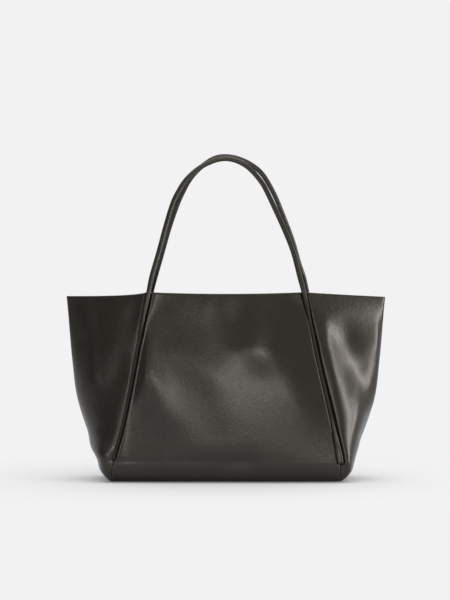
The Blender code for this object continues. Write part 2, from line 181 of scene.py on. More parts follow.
frontFolds = [
    (-0.167, 0.323, -0.102, 0.112, 0.027, 0.034, 0.0054, 0.5),
    (0.052, 0.182, 0.075, 0.297, 0.038, 0.047, 0.0046, 0.5),
    (-0.017, 0.289, -0.070, 0.303, 0.028, 0.045, 0.0024, 0.5),
    (0.026, 0.255, 0.130, 0.104, 0.038, 0.027, 0.0027, 0.5),
    (-0.119, 0.178, -0.178, 0.163, 0.028, 0.042, 0.0054, 0.5),
    (-0.009, 0.062, -0.055, 0.151, 0.033, 0.028, -0.0012, 0.5),
    (-0.089, 0.089, -0.179, 0.025, 0.034, 0.038, -0.0015, 0.5),
    (-0.132, 0.232, -0.154, 0.111, 0.017, 0.017, 0.0055, 0.5),
    (0.018, 0.229, 0.007, 0.338, 0.022, 0.028, -0.0044, 0.5),
    (-0.072, 0.028, 0.031, 0.025, 0.017, 0.042, -0.0055, 0.5),
    (0.060, 0.198, 0.150, 0.186, 0.028, 0.028, 0.0009, 0.5),
    (0.048, 0.032, -0.006, 0.019, 0.029, 0.017, -0.0040, 0.5),
    (0.044, 0.170, 0.171, 0.208, 0.024, 0.024, -0.0009, 0.5),
    (0.011, 0.031, 0.110, 0.016, 0.017, 0.024, -0.0025, 0.5),
    (-0.198, 0.030, -0.055, 0.023, 0.026, 0.032, -0.0020, 0.5),
    (-0.161, 0.285, -0.087, 0.314, 0.027, 0.030, -0.0039, 0.5),
    (-0.093, 0.217, 0.001, 0.156, 0.027, 0.023, 0.0013, 0.5),
    (-0.174, 0.029, -0.090, 0.025, 0.018, 0.022, -0.0014, 0.5),
]
backFolds = [
    (0.050, 0.290, -0.020, 0.200, 0.028, 0.026, 0.0020, 0.5),
    (0.090, 0.180, -0.040, 0.100, 0.030, 0.034, 0.0024, 0.5),
    (-0.100, 0.250, -0.040, 0.190, 0.024, 0.028, -0.0020, 0.5),
    (-0.150, 0.050, 0.150, 0.052, 0.012, 0.012, -0.0014, 0.2),
]
leftFolds = [
    (0.213, 0.049, 0.158, 0.204, 0.031, 0.026, -0.0044, 0.5),
    (0.321, 0.107, 0.161, 0.029, 0.013, 0.019, 0.0065, 0.5),
    (0.096, 0.392, 0.146, 0.241, 0.020, 0.010, -0.0038, 0.5),
    (0.213, 0.221, 0.211, 0.143, 0.013, 0.010, 0.0020, 0.5),
    (0.211, 0.045, 0.218, -0.015, 0.017, 0.012, -0.0034, 0.5),
    (0.226, 0.285, 0.215, 0.230, 0.017, 0.013, 0.0022, 0.5),
]
rightFolds = [
    (0.223, 0.131, 0.183, 0.245, 0.030, 0.026, -0.0070, 0.5),
    (0.243, 0.115, 0.248, 0.250, 0.017, 0.005, 0.0046, 0.5),
    (0.203, 0.141, 0.188, 0.048, 0.008, 0.020, -0.0018, 0.5),
    (0.157, 0.251, 0.172, 0.153, 0.008, 0.008, 0.0010, 0.5),
    (0.201, 0.029, 0.281, 0.012, 0.022, 0.016, -0.0025, 0.5),
    (0.230, 0.113, 0.215, 0.064, 0.009, 0.008, -0.0021, 0.5),
    (0.194, 0.165, 0.280, 0.218, 0.014, 0.020, -0.0013, 0.5),
]
foldFade = {"floor": 0.045, "rimFrom": 0.245, "rimReach": 0.055, "rimCalm": 0.55, "backGusset": 0.7}


# The folds die out toward the floor and grow calmer toward the rim
def foldShare(z):
    calm = 1.0 - foldFade["rimCalm"] * ease((z - foldFade["rimFrom"]) / foldFade["rimReach"])
    return float(ease(z / foldFade["floor"]) * calm)


# Valley seams

# The handle in each seam by height: its middle sideways from the seam line (to the right is positive),
# its half width, how far it stands proud and the gap on each side of it, all in millimetres.
# Heights and single values are in metres: they shape the leather edges beside the handle.
valleys = {
    ("front", "left"): {
        "heights": (0.034, 0.051, 0.067, 0.098, 0.129, 0.160, 0.191, 0.223, 0.2545, 0.280, 0.298),
        "middle": (-1.0, 0.4, 1.4, 2.1, 2.0, 2.2, 1.9, 2.0, 1.5, 1.4, 1.3),
        "half": (2.8, 2.1, 2.0, 2.0, 2.0, 2.0, 2.4, 2.9, 3.2, 3.9, 4.0),
        "crest": (0.6, 0.5, 0.4, 0.3, 0.3, 0.3, 0.4, 0.8, 2.6, 4.0, 4.6),
        "panelGap": (0.9, 0.9, 0.9, 1.0, 1.1, 1.1, 1.3, 1.4, 1.6, 1.4, 1.0),
        "gussetGap": (0.0, 0.0, 0.0, 0.0, 0.0, 0.0, 0.0, 0.0, 0.0, 0.1, 0.3),
        "panelRadius": 0.0036,
        "gussetRadius": 0.0022,
        "panelRise": 0.0015,
        "gussetRise": 0.0004,
        "panelShoulder": -0.0013,
        "closed": 0.0335,
    },
    ("front", "right"): {
        "heights": (0.030, 0.038, 0.051, 0.067, 0.098, 0.129, 0.160, 0.191, 0.223, 0.2545, 0.280, 0.298),
        "middle": (2.2, 3.0, 4.0, 4.4, 4.8, 4.2, 2.7, 0.9, 0.3, 0.4, 0.5, 0.3),
        "half": (4.9, 4.9, 4.5, 4.0, 3.0, 2.8, 2.8, 2.7, 2.5, 2.6, 3.6, 4.0),
        "crest": (2.2, 2.3, 2.4, 2.2, 0.8, 0.5, 0.4, 0.4, 0.6, 1.4, 3.4, 4.6),
        "panelGap": (0.0, 0.0, 0.0, 0.0, 0.0, 0.0, 0.0, 0.0, 0.0, 0.0, 0.1, 0.3),
        "gussetGap": (2.0, 2.1, 2.3, 2.4, 3.2, 3.0, 2.6, 2.6, 2.7, 1.6, 0.6, 0.4),
        "panelRadius": 0.0030,
        "gussetRadius": 0.0024,
        "panelRise": 0.0004,
        "gussetRise": 0.0018,
        "panelShoulder": 0.0,
        "closed": 0.0250,
    },
}
# The back handle spreads at the rim, where its arch stands a little wider than the seams
for hand, spread in (("left", -3.0), ("right", 3.5)):
    valleys[("back", hand)] = {
        "heights": (0.034, 0.078, 0.200, 0.298),
        "middle": (0.0, 0.0, 0.0, spread),
        "half": (4.6, 4.1, 4.1, 4.0),
        "crest": (2.3, 3.6, 4.2, 4.6),
        "panelGap": (0.6, 0.6, 0.6, 0.6),
        "gussetGap": (0.6, 0.6, 0.6, 0.6),
        "panelRadius": 0.0032,
        "gussetRadius": 0.0032,
        "panelRise": 0.0015,
        "gussetRise": 0.0015,
        "panelShoulder": 0.0,
        "closed": 0.0335,
    }
valleyShape = {
    "depth": 0.0048,
    "endDepth": 0.0026,
    "lipRise": 0.0015,
    "lift": 0.0006,
    "shoulderLength": 0.0035,
    "shoulderReach": 0.6,
    "knee": 0.92,
    "allowance": 0.0038,
    "flatTop": 0.078,
    "flatLength": 0.030,
    "closing": 0.007,
    "crease": 0.0012,
    "lipSteps": 9,
    "wallSteps": 5,
    "creaseSteps": 5,
}


def flattened(z):
    return ease((valleyShape["flatTop"] - z) / valleyShape["flatLength"])


def byHeight(valley, name, z):
    return 0.001 * smoothCurve(valley["heights"], valley[name], z)


# The panel falls a little toward the seam over its last millimetres
def shoulderDrop(key, z):
    valley = valleys[key]
    return valley["panelShoulder"] * float(ease((z - valley["closed"]) / valleyShape["closing"]))


# One leather edge beside a seam, from the face to the inner end of its allowance,
# as (sideways from the seam line, out of the surface)
def edgeProfile(key, sheet, z):
    v, valley = valleyShape, valleys[key]
    deep = v["depth"] + (v["endDepth"] - v["depth"]) * flattened(z)
    toward = 1.0 if (key[1] == "left") == (sheet == "panel") else -1.0
    middle = toward * float(byHeight(valley, "middle", z))
    wide = middle + float(byHeight(valley, "half", z)) + float(byHeight(valley, sheet + "Gap", z))
    amount = float(ease((z - valley["closed"]) / v["closing"]))
    edge = 0.5 * middle * amount + bodyLines["gap"] / 2
    radius, rise = valley[sheet + "Radius"], valley[sheet + "Rise"]
    angles = np.linspace(0.5 * np.pi, np.pi, v["lipSteps"])
    lip = np.stack([wide + radius + radius * np.cos(angles), rise - radius + radius * np.sin(angles)], axis=1)
    if sheet == "panel":
        beyond = (wide + radius - lip[:, 0]) / v["shoulderLength"]
        lip[:, 1] -= valley["panelShoulder"] * (1.0 + np.minimum(beyond, v["shoulderReach"]))
    t = np.linspace(0.0, 1.0, v["wallSteps"] + 1)[1:]
    start, end = lip[-1], np.array([edge, -deep])
    knee = np.array([edge + v["knee"] * (wide - edge), -deep])
    wall = np.outer((1 - t) ** 2, start) + np.outer(2 * t * (1 - t), knee) + np.outer(t**2, end)
    allowance = np.array([[0.0, -deep - 0.5 * v["allowance"]], [0.0, -deep - v["allowance"]]])
    opened = np.concatenate([lip, wall, allowance + (edge, 0.0)])
    crease = v["crease"]
    fold = np.linspace(0.5 * np.pi, np.pi, v["creaseSteps"])
    flat = np.stack([np.linspace(wide + radius, crease, v["lipSteps"]), np.zeros(v["lipSteps"])], axis=1)
    turned = crease * np.stack([1.0 + np.cos(fold), np.sin(fold) - 1.0], axis=1)
    shut = np.concatenate([flat, turned, allowance])
    return shut + (opened - shut) * amount


def edgeLines(rows, key, sheet):
    return np.array([edgeProfile(key, sheet, row[0]) for row in rows])


# Meshes

def gridNormals(grid):
    across = np.gradient(grid, axis=1)
    along = np.gradient(grid, axis=0)
    normals = np.cross(across, along)
    length = np.linalg.norm(normals, axis=2, keepdims=True)
    return normals / np.maximum(length, 1e-12)


def addMesh(name, verts, faces, materials, faceMaterials=None, uvs=None):
    mesh = bpy.data.meshes.new(name)
    mesh.from_pydata([tuple(v) for v in verts], [], faces)
    for material in materials:
        mesh.materials.append(material)
    if faceMaterials is not None:
        mesh.polygons.foreach_set("material_index", faceMaterials)
    if uvs is not None:
        layer = mesh.uv_layers.new(name="UVMap")
        loops = np.empty(len(mesh.loops), dtype=np.int32)
        mesh.loops.foreach_get("vertex_index", loops)
        layer.data.foreach_set("uv", np.asarray(uvs)[loops].astype(np.float32).ravel())
    mesh.polygons.foreach_set("use_smooth", [True] * len(mesh.polygons))
    mesh.update()
    piece = bpy.data.objects.new(name, mesh)
    scene.collection.objects.link(piece)
    return piece


sheetEdge = (0.12, 0.5, 0.88)  # where the rounded edge of a sheet has its rings, as shares of its thickness


# A sheet with thickness: an outer grid, an inner grid and a rounded edge all round. Its materials are
# those of its outer side, inner side and edge. outward is where the outer side faces, about its middle.
def addSheet(name, outer, thickness, materials, outward, looped=False, edgeBulge=0.25, inner=None):
    rows, columns = outer.shape[:2]
    wrapped = np.concatenate([outer[:, -1:], outer, outer[:, :1]], axis=1) if looped else outer
    normals = gridNormals(wrapped)
    if looped:
        normals = normals[:, 1:-1]
    middle = normals[rows // 3, columns // 2]
    flip = float(np.dot(middle, outward)) < 0.0
    if flip:
        normals = -normals
    if inner is None:
        inner = outer - normals * thickness
    verts = [outer.reshape(-1, 3), inner.reshape(-1, 3)]
    index = np.arange(rows * columns).reshape(rows, columns)
    innerIndex = index + rows * columns
    across = np.linalg.norm(np.diff(outer, axis=1, prepend=outer[:, :1]), axis=2).cumsum(axis=1)
    along = np.linalg.norm(np.diff(outer, axis=0, prepend=outer[:1]), axis=2).cumsum(axis=0)
    uv = np.stack([across - across[:, columns // 2, None], along], axis=2).reshape(-1, 2)
    uvs = [uv, uv]
    faces, kinds = [], []

    def strip(a, b, kind, reverse):
        for p, q, r, s in zip(a[:-1], a[1:], b[1:], b[:-1]):
            face = (int(p), int(q), int(r), int(s))
            faces.append(face[::-1] if reverse else face)
            kinds.append(kind)

    def ring(line):
        return np.append(line, line[0]) if looped else line

    for r in range(rows - 1):
        strip(ring(index[r]), ring(index[r + 1]), 0, flip)
        strip(ring(innerIndex[r]), ring(innerIndex[r + 1]), 1 if len(materials) > 1 else 0, not flip)
    total = 2 * rows * columns
    if looped:
        borders = [(index[0], innerIndex[0]), (index[-1][::-1], innerIndex[-1][::-1])]
    else:
        loop = np.concatenate([index[0], index[1:, -1], index[-1, :-1][::-1], index[1:-1, 0][::-1]])
        borders = [(loop, loop + rows * columns)]
    for outerLine, innerLine in borders:
        flatOuter = outer.reshape(-1, 3)[outerLine]
        tangent = np.roll(flatOuter, -1, axis=0) - np.roll(flatOuter, 1, axis=0)
        depth = inner.reshape(-1, 3)[outerLine] - flatOuter
        away = np.cross(tangent, depth) * (1.0 if flip else -1.0)
        away /= np.maximum(np.linalg.norm(away, axis=1, keepdims=True), 1e-12)
        rings = [outerLine]
        for share in sheetEdge:
            push = edgeBulge * thickness * (4.0 * share * (1.0 - share)) ** 0.5
            verts.append(flatOuter + depth * share + away * push)
            uvs.append(uv[outerLine])
            rings.append(np.arange(total, total + len(outerLine)))
            total += len(outerLine)
        rings.append(innerLine)
        for a, b in zip(rings, rings[1:]):
            strip(np.append(a, a[0]), np.append(b, b[0]), 2 if len(materials) > 2 else 0, not flip)
    return addMesh(name, np.concatenate(verts), faces, materials, kinds, np.concatenate(uvs))


def smoothLine(points, perSpan):
    points = np.array(points, float)
    ends = np.concatenate([[2 * points[0] - points[1]], points, [2 * points[-1] - points[-2]]])
    line = []
    for k in range(1, len(ends) - 2):
        a, b, c, d = ends[k - 1 : k + 3]
        bend, twist = 2 * a - 5 * b + 4 * c - d, 3 * b - a - 3 * c + d
        for t in np.linspace(0.0, 1.0, perSpan, endpoint=False):
            line.append(0.5 * (2 * b + (c - a) * t + bend * t**2 + twist * t**3))
    line.append(points[-1])
    return np.array(line)


# Distances along a line of points, from its start
def lineLengths(points):
    return np.concatenate([[0.0], np.cumsum(np.linalg.norm(np.diff(points, axis=0), axis=1))])


def evenSteps(points, steps):
    lengths = lineLengths(points)
    at = np.linspace(0.0, lengths[-1], steps + 1)
    return np.stack([np.interp(at, lengths, column) for column in points.T], axis=1)


# Materials

def newMaterial(name):
    material = bpy.data.materials.new(name)
    material.use_nodes = True
    tree = material.node_tree
    return material, tree, tree.nodes["Principled BSDF"]


def setInputs(node, values):
    for key, value in values.items():
        node.inputs[key].default_value = value


def addNode(tree, kind, x, y, inputs=None, **settings):
    node = tree.nodes.new(kind)
    node.location = (x, y)
    for key, value in settings.items():
        setattr(node, key, value)
    setInputs(node, inputs or {})
    return node


# Each link: node, output, node, input
def linkNodes(tree, *links):
    for source, output, target, socket in links:
        tree.links.new(source.outputs[output], target.inputs[socket])


def mixColours(tree, x, y, dark, light):
    return addNode(tree, "ShaderNodeMix", x, y, {"A": (*dark, 1.0), "B": (*light, 1.0)}, data_type="RGBA")


grainLook = {
    "scales": (("Pebble Scale", 900.0), ("Crease Scale", 210.0)),
    "pebbles": {"Smoothness": 0.5, "Randomness": 0.95},
    "creases": {"Detail": 4.0, "Roughness": 0.55, "Distortion": 0.4},
    "clouds": {"Scale": 14.0, "Detail": 3.0},
}


def grainGroup():
    group = bpy.data.node_groups.new("leatherGrain", "ShaderNodeTree")
    for name, scale in grainLook["scales"]:
        socket = group.interface.new_socket(name, in_out="INPUT", socket_type="NodeSocketFloat")
        socket.default_value = scale
    for name in ("Pebble", "Crease", "Cloud"):
        group.interface.new_socket(name, in_out="OUTPUT", socket_type="NodeSocketFloat")
    source = addNode(group, "NodeGroupInput", -900, 0)
    result = addNode(group, "NodeGroupOutput", 500, 0)
    where = addNode(group, "ShaderNodeTexCoord", -900, -300)
    pebbles = addNode(group, "ShaderNodeTexVoronoi", -200, 200, grainLook["pebbles"], feature="SMOOTH_F1")
    creases = addNode(group, "ShaderNodeTexNoise", -200, -50, grainLook["creases"])
    clouds = addNode(group, "ShaderNodeTexNoise", -200, -300, grainLook["clouds"])
    for texture in (pebbles, creases, clouds):
        linkNodes(group, (where, "Object", texture, "Vector"))
    linkNodes(
        group,
        (source, "Pebble Scale", pebbles, "Scale"),
        (source, "Crease Scale", creases, "Scale"),
        (pebbles, "Distance", result, "Pebble"),
        (creases, "Fac", result, "Crease"),
        (clouds, "Fac", result, "Cloud"),
    )
    return group


leatherGrain = grainGroup()

leatherLook = {
    "dark": (0.0114, 0.0096, 0.0067),
    "light": (0.0160, 0.0137, 0.0102),
    "roughLow": 0.285,
    "roughHigh": 0.325,
    "roughSpread": (0.3, 0.7),  # the stretch of the crease pattern that moves the roughness
    "specular": 0.5,
    "tint": (1.0, 0.93, 0.87),
    "pebbleBump": 0.10,
    "pebbleDepth": 0.0004,
    "creaseBump": 0.11,
    "creaseDepth": 0.002,
}
handleLook = {**leatherLook, "roughHigh": 0.31, "pebbleBump": 0.03, "creaseBump": 0.015, "seated": 0.55}
facingLook = {**leatherLook, "roughLow": 0.45, "roughHigh": 0.58}


def leatherMaterial(name, look):
    material, tree, shader = newMaterial(name)
    grain = addNode(tree, "ShaderNodeGroup", -900, 0, node_tree=leatherGrain)
    colour = mixColours(tree, -500, 200, look["dark"], look["light"])
    low, high = look["roughSpread"]
    spread = {"From Min": low, "From Max": high, "To Min": look["roughLow"], "To Max": look["roughHigh"]}
    rough = addNode(tree, "ShaderNodeMapRange", -500, 0, spread)
    bumps = []
    for kind, x in (("pebble", -250), ("crease", -500)):
        values = {"Strength": look[kind + "Bump"], "Distance": look[kind + "Depth"]}
        bumps.append(addNode(tree, "ShaderNodeBump", x, -300, values))
    pebble, crease = bumps
    linkNodes(
        tree,
        (grain, "Cloud", colour, "Factor"),
        (grain, "Crease", rough, "Value"),
        (grain, "Crease", crease, "Height"),
        (grain, "Pebble", pebble, "Height"),
        (crease, "Normal", pebble, "Normal"),
        (colour, "Result", shader, "Base Color"),
        (pebble, "Normal", shader, "Normal"),
    )
    roughness = (rough, "Result")
    if "seated" in look:
        seated = addNode(tree, "ShaderNodeAttribute", -900, -300, attribute_name="seated")
        duller = addNode(tree, "ShaderNodeMath", -250, 0, {1: look["seated"]}, operation="MULTIPLY_ADD")
        linkNodes(tree, (seated, "Fac", duller, 0), (*roughness, duller, 2))
        roughness = (duller, "Value")
    linkNodes(tree, (*roughness, shader, "Roughness"))
    setInputs(shader, {"Specular IOR Level": look["specular"], "Specular Tint": (*look["tint"], 1.0)})
    return material


# A pattern that moves the colour and raises the surface
def patternSurface(tree, shader, pattern, output, look):
    colour = mixColours(tree, -400, 200, *look["colours"])
    bump = addNode(tree, "ShaderNodeBump", -400, -200, {"Strength": look["bump"], "Distance": look["depth"]})
    linkNodes(
        tree,
        (pattern, output, colour, "Factor"),
        (pattern, output, bump, "Height"),
        (colour, "Result", shader, "Base Color"),
        (bump, "Normal", shader, "Normal"),
    )
    setInputs(shader, look["surface"])


def mottledMaterial(name, look):
    material, tree, shader = newMaterial(name)
    where = addNode(tree, "ShaderNodeTexCoord", -1100, 0)
    mapping = addNode(tree, "ShaderNodeMapping", -900, 0, {"Scale": look["stretch"]})
    noise = addNode(tree, "ShaderNodeTexNoise", -700, 0, {"Scale": look["scale"], "Detail": look["detail"]})
    linkNodes(tree, (where, "Object", mapping, "Vector"), (mapping, "Vector", noise, "Vector"))
    patternSurface(tree, shader, noise, "Fac", look)
    return material


# Plain weave: two sets of threads crossing in the cloth's own UV directions
def clothMaterial(name, look):
    material, tree, shader = newMaterial(name)
    where = addNode(tree, "ShaderNodeTexCoord", -1100, 0)
    weave = addNode(tree, "ShaderNodeMath", -600, 0, operation="MULTIPLY")
    for spot, axis in enumerate("XY"):
        wave = addNode(tree, "ShaderNodeTexWave", -800, -250 * spot, look["threads"], bands_direction=axis)
        linkNodes(tree, (where, "UV", wave, "Vector"), (wave, "Fac", weave, spot))
    patternSurface(tree, shader, weave, "Value", look)
    return material


mottledLook = {"stretch": (1.0, 1.0, 1.0), "detail": 5.0}
fleshLook = {
    **mottledLook,
    "colours": ((0.030, 0.026, 0.021), (0.042, 0.036, 0.030)),
    "scale": 1500.0,
    "bump": 0.3,
    "depth": 0.0003,
    "surface": {"Roughness": 0.9},
}
edgeLook = {
    **mottledLook,
    "colours": ((0.010, 0.009, 0.008), (0.014, 0.013, 0.011)),
    "scale": 700.0,
    "bump": 0.08,
    "depth": 0.0002,
    "surface": {"Roughness": 0.32},
}
cordLook = {
    **mottledLook,
    "colours": ((0.50, 0.47, 0.41), (0.60, 0.57, 0.50)),
    "scale": 1400.0,
    "bump": 0.4,
    "depth": 0.0004,
    "surface": {"Roughness": 0.9},
}
boardLook = {
    **mottledLook,
    "stretch": (0.3, 1.0, 1.0),
    "colours": ((0.17, 0.125, 0.085), (0.24, 0.18, 0.12)),
    "scale": 420.0,
    "bump": 0.3,
    "depth": 0.0003,
    "surface": {"Roughness": 0.85},
}
metalLook = {
    **mottledLook,
    "colours": ((0.22, 0.21, 0.20), (0.28, 0.27, 0.25)),
    "scale": 900.0,
    "bump": 0.04,
    "depth": 0.0001,
    "surface": {"Roughness": 0.28, "Metallic": 1.0},
}
clothLook = {
    "colours": ((0.040, 0.036, 0.030), (0.075, 0.068, 0.058)),
    "threads": {"Scale": 260.0, "Distortion": 0.6, "Detail": 2.0},
    "bump": 0.35,
    "depth": 0.0003,
    "surface": {"Roughness": 0.85, "Sheen Weight": 0.15, "Sheen Roughness": 0.5},
}

darkLeather = leatherMaterial("darkLeather", leatherLook)
handleLeather = leatherMaterial("handleLeather", handleLook)
facingLeather = leatherMaterial("facingLeather", facingLook)
fleshSide = mottledMaterial("leatherBack", fleshLook)
edgePaint = mottledMaterial("edgePaint", edgeLook)
liningCloth = clothMaterial("liningCloth", clothLook)
cottonCord = mottledMaterial("cottonCord", cordLook)
boardFibre = mottledMaterial("boardFibre", boardLook)
snapMetal = mottledMaterial("snapMetal", metalLook)
print("materials made")


# Front and back panels

panelShape = {"rowStep": 0.0026, "floorStep": 0.004, "columns": 118, "evenShare": 0.45, "lipFade": 9.0}


# How far the folds push a panel out, at a height and at a share of the way to its seams
def panelPush(folds, x, z, share):
    below = max(1.0 - z / bodyLines["bendRadius"], 0.0)
    pushed = foldHeight(folds, x, np.full_like(x, z)) * (1.0 - share ** panelShape["lipFade"])
    return pushed * (1.0 - below**2) * foldShare(z)


def panelGrid(place, side, folds):
    rows = bodyRows(panelShape["rowStep"], panelShape["floorStep"])
    leftEdge = edgeLines(rows, (place, "left"), "panel")
    rightEdge = edgeLines(rows, (place, "right"), "panel")
    across = np.linspace(-1.0, 1.0, panelShape["columns"])[1:-1]
    even = panelShape["evenShare"]  # the other columns gather toward the seams
    across = even * across + (1.0 - even) * np.sin(0.5 * np.pi * across)
    share = np.abs(across)
    grid = []
    for (z, y, outward, down), leftLine, rightLine in zip(rows, leftEdge, rightEdge):
        reach = float(seamX(z))
        x0, x1 = -reach + leftLine[0, 0], reach - rightLine[0, 0]
        x = 0.5 * (x0 + x1) + 0.5 * (x1 - x0) * across
        drops = [shoulderDrop((place, hand), z) for hand in ("left", "right")]
        first, last = leftLine[0, 1] + drops[0], rightLine[0, 1] + drops[1]
        base = first + (last - first) * (across * 0.5 + 0.5)
        base -= drops[0] * np.exp((x0 - x) / valleyShape["shoulderLength"])
        base -= drops[1] * np.exp((x - x1) / valleyShape["shoulderLength"])
        swell = bulge(z) * outward**2 * (1.0 - share ** bodyLines["bulgePower"])
        out = base + swell + panelPush(folds, x, z, share)
        xs = np.concatenate([-reach + leftLine[::-1, 0], x, reach - rightLine[:, 0]])
        outs = np.concatenate([leftLine[::-1, 1], out, rightLine[:, 1]])
        grid.append(np.stack([xs, side * (y + outs * outward), z + outs * down], axis=1))
    return settled(np.array(grid))


outerLeather = [darkLeather, fleshSide, edgePaint]
for place, side, folds in (("front", -1, frontFolds), ("back", 1, backFolds)):
    grid = panelGrid(place, side, folds)
    piece = addSheet(place + "_leather", grid, bodyLines["leather"], outerLeather, (0.0, side, 0.0))
    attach(piece, "bag")
    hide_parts(place + "_panel")
print("panels made")


# Gussets

gussetShape = {
    "halfSteps": 46,
    "rounding": 5,
    "tipPush": 0.0012,
    "narrowReach": 0.018,
    "leastWidth": 0.12,
    "seamFade": 10.0,
    "tipFade": 0.15,
}


# A quarter of the bag's section, from a seam to the fold at the middle of a gusset
def gussetHalf(z, xStart, yStart, xEnd, steps):
    power = 2.0 / float(squareness(z))
    angles = np.linspace(0.0, 0.5 * np.pi, bodyLines["sectionSteps"])
    x = xStart + (xEnd - xStart) * np.sin(angles) ** power
    y = yStart * np.maximum(np.cos(angles), 0.0) ** power
    y[-1] = 0.0
    return evenSteps(np.stack([x, y], axis=1), steps)


# Rounds the fold at the middle of a gusset's section
def roundedMiddle(points, reach):
    result = points.copy()
    middle = len(points) // 2
    for _ in range(reach):
        low, high = middle - 2 * reach, middle + 2 * reach + 1
        inner = 0.25 * result[low - 1 : high - 1] + 0.5 * result[low:high] + 0.25 * result[low + 1 : high + 1]
        result[low:high] = inner
    return result


# How far the folds push a gusset's section out along its normals, from the front seam to the back seam.
# A line that runs a little inside the leather gives how far inside.
def gussetPush(folds, line, z, inside=0.0):
    tangent = np.gradient(line, axis=0)
    normal = np.stack([tangent[:, 1], -tangent[:, 0]], axis=1)
    normal /= np.maximum(np.linalg.norm(normal, axis=1, keepdims=True), 1e-9)
    spot = np.abs(np.linspace(-1.0, 1.0, len(line)))
    fade = (1.0 - spot ** gussetShape["seamFade"]) * ease(spot / gussetShape["tipFade"]) * foldShare(z)
    pushed = foldHeight(folds, line[:, 0] + normal[:, 0] * inside, np.full(len(line), z)) * fade
    return np.where(line[:, 1] < 0.0, pushed, foldFade["backGusset"] * pushed), normal


def gussetGrid(hand, side, folds):
    rows = bodyRows(panelShape["rowStep"])
    frontEdge = edgeLines(rows, ("front", hand), "gusset")
    backEdge = edgeLines(rows, ("back", hand), "gusset")
    grid = []
    for (z, y, outward, down), frontLine, backLine in zip(rows, frontEdge, backEdge):
        reach, tip = float(seamX(z)), float(gussetReach(z))
        room = (tip - reach - bodyLines["leather"]) / gussetShape["narrowReach"]
        narrow = min(max(room, gussetShape["leastWidth"]), 1.0)
        frontLine, backLine = frontLine * (narrow, 1.0), backLine * (narrow, 1.0)
        halves = []
        for edge in (frontLine, backLine):
            xEnd, steps = tip + gussetShape["tipPush"], gussetShape["halfSteps"]
            halves.append(gussetHalf(z, reach + edge[0, 0], y + edge[0, 1] * outward, xEnd, steps))
        line = np.concatenate([halves[0] * (1.0, -1.0), halves[1][-2::-1]])
        line = roundedMiddle(line, gussetShape["rounding"])
        pushed, normal = gussetPush(folds, line, z)
        line = line + normal * pushed[:, None]
        start = [(reach + aside, -(y + out * outward), z + out * down) for aside, out in frontLine[:0:-1]]
        middle = [(x, depth, z) for x, depth in line]
        end = [(reach + aside, y + out * outward, z + out * down) for aside, out in backLine[1:]]
        grid.append(np.array(start + middle + end) * (side, 1.0, 1.0))
    return settled(np.array(grid))


for hand, side, folds in (("left", -1, leftFolds), ("right", 1, rightFolds)):
    grid = gussetGrid(hand, side, folds)
    piece = addSheet(hand + "_gusset_leather", grid, bodyLines["leather"], outerLeather, (side, 0.0, 0.0))
    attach(piece, "bag")
    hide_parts(hand + "_gusset")
print("gussets made")


# Rolled handles

handleShape = {
    "radius": 0.0040,
    "sides": 28,
    "step": 0.003,
    "smoothing": 6,
    "splineSteps": 10,
    "legSteps": 40,
    "legEvery": 4,  # the spline runs through every fourth step of a leg
    "proud": 0.0004,
    "flatThick": 0.0017,
    "seamDepth": 0.0004,
    "seamWidth": 0.20,
    "bendFrom": 0.290,
    "bendTo": 0.306,
    "topDepth": 0.00415,
    "cordShare": 0.6,
    "cordSides": 12,
    "endShare": 0.7,
    "endRise": 0.0006,
    "tipRise": 0.0008,
    "aroundUV": 0.025,
    "dullStretch": {"left": (0.030, 0.262), "right": (0.085, 0.305)},
    "dullFade": (0.02, 0.03),
}

# Each arch as (sideways, height) points from its left foot to its right foot
handleRoutes = {
    "front": {
        "footLeft": 0.0375,
        "footRight": 0.0310,
        "points": [
            (-0.1170, 0.3239), (-0.1062, 0.3620), (-0.0963, 0.4003), (-0.0850, 0.4388), (-0.0760, 0.4580),
            (-0.0638, 0.4774), (-0.0426, 0.4967), (-0.0190, 0.5087), (0.0002, 0.5120), (0.0194, 0.5077),
            (0.0385, 0.4955), (0.0576, 0.4729), (0.0671, 0.4548), (0.0766, 0.4343), (0.0919, 0.4003),
            (0.1068, 0.3620), (0.1164, 0.3239),
        ],
    },
    "back": {
        "footLeft": 0.0375,
        "footRight": 0.0375,
        "points": [
            (-0.1139, 0.3249), (-0.1026, 0.3636), (-0.0915, 0.4021), (-0.0779, 0.4404), (-0.0691, 0.4596),
            (-0.0587, 0.4787), (-0.0417, 0.4977), (-0.0190, 0.5131), (0.0002, 0.5161), (0.0194, 0.5128),
            (0.0387, 0.5041), (0.0580, 0.4887), (0.0774, 0.4565), (0.0923, 0.4213), (0.1072, 0.3828),
            (0.1185, 0.3442), (0.1254, 0.3249),
        ],
    },
}


# Half thickness of a handle in its valley: squeezed where the valley is narrow, flattened at its foot
def seatedThick(valley, z):
    thick = np.minimum(byHeight(valley, "half", z) + handleShape["proud"], handleShape["radius"])
    return thick + (handleShape["flatThick"] - thick) * flattened(z)


def legPoints(side, hand, foot):
    valley = valleys[("front" if side < 0 else "back", "left" if hand < 0 else "right")]
    z = np.linspace(foot, bodyLines["rim"], handleShape["legSteps"])
    x = hand * seamX(z) + byHeight(valley, "middle", z)
    y = side * (seamY(z) + byHeight(valley, "crest", z) - seatedThick(valley, z))
    if side > 0:
        x = x + bodyLines["settle"] * z / bodyLines["rim"]
    return np.stack([x, y, z], axis=1)


